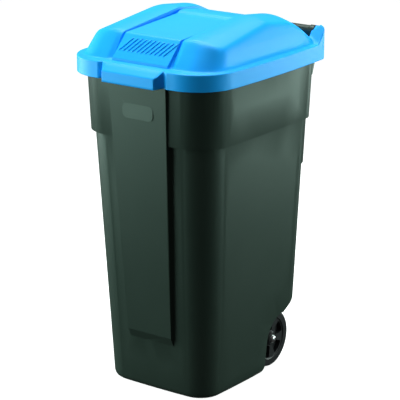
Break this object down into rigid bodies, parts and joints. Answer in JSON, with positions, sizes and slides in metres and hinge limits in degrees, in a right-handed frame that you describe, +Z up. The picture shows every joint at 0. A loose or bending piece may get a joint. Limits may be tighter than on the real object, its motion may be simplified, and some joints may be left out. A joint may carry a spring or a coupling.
{
  "type": "wheelie bin",
  "caption": "Two-wheeled household waste bin: tapered dark tub with raised front panel and rear handle, blue domed hinged lid with front grip, spoked wheels on an axle.",
  "frame": {"origin": "on the floor under the base, below the middle of the lid", "axes": "+Z up; the front with the lid grip and raised panel faces -Y; the wheels are at the rear, +Y; the axle lies along X"},
  "size_m": [0.4498, 0.551, 0.919],
  "materials": {
    "tub_plastic": "moulded polypropylene, satin, very dark green-grey",
    "lid_plastic": "moulded polypropylene, satin gloss, sky blue",
    "wheel_plastic": "moulded polyethylene, black",
    "hinge_plastic": "moulded nylon, black",
    "axle_steel": "drawn steel bar, zinc plated",
    "cap_zinc": "bright zinc-plated spring steel"
  },
  "bodies": {
    "tub": {"tub": "tub_plastic", "axle": "axle_steel", "hinge_pin_left": "hinge_plastic", "hinge_pin_right": "hinge_plastic", "push_cap_left": "cap_zinc", "push_cap_right": "cap_zinc", "washer_left": "cap_zinc", "washer_right": "cap_zinc", "spacer_left": "hinge_plastic", "spacer_right": "hinge_plastic"},
    "lid": {"lid": "lid_plastic"},
    "wheel_left": {"wheel_left": "wheel_plastic"},
    "wheel_right": {"wheel_right": "wheel_plastic"}
  },
  "joints": [
    {"name": "lid_hinge", "type": "hinge", "parent": "tub", "child": "lid", "pos_m": [0, 0.268, 0.85], "axis": [-1, 0, 0], "range_deg": [0, 250]},
    {"name": "wheel_left_spin", "type": "hinge", "parent": "tub", "child": "wheel_left", "pos_m": [-0.131, 0.12, 0.077], "axis": [1, 0, 0], "continuous": true},
    {"name": "wheel_right_spin", "type": "hinge", "parent": "tub", "child": "wheel_right", "pos_m": [0.131, 0.12, 0.077], "axis": [1, 0, 0], "continuous": true}
  ]
}
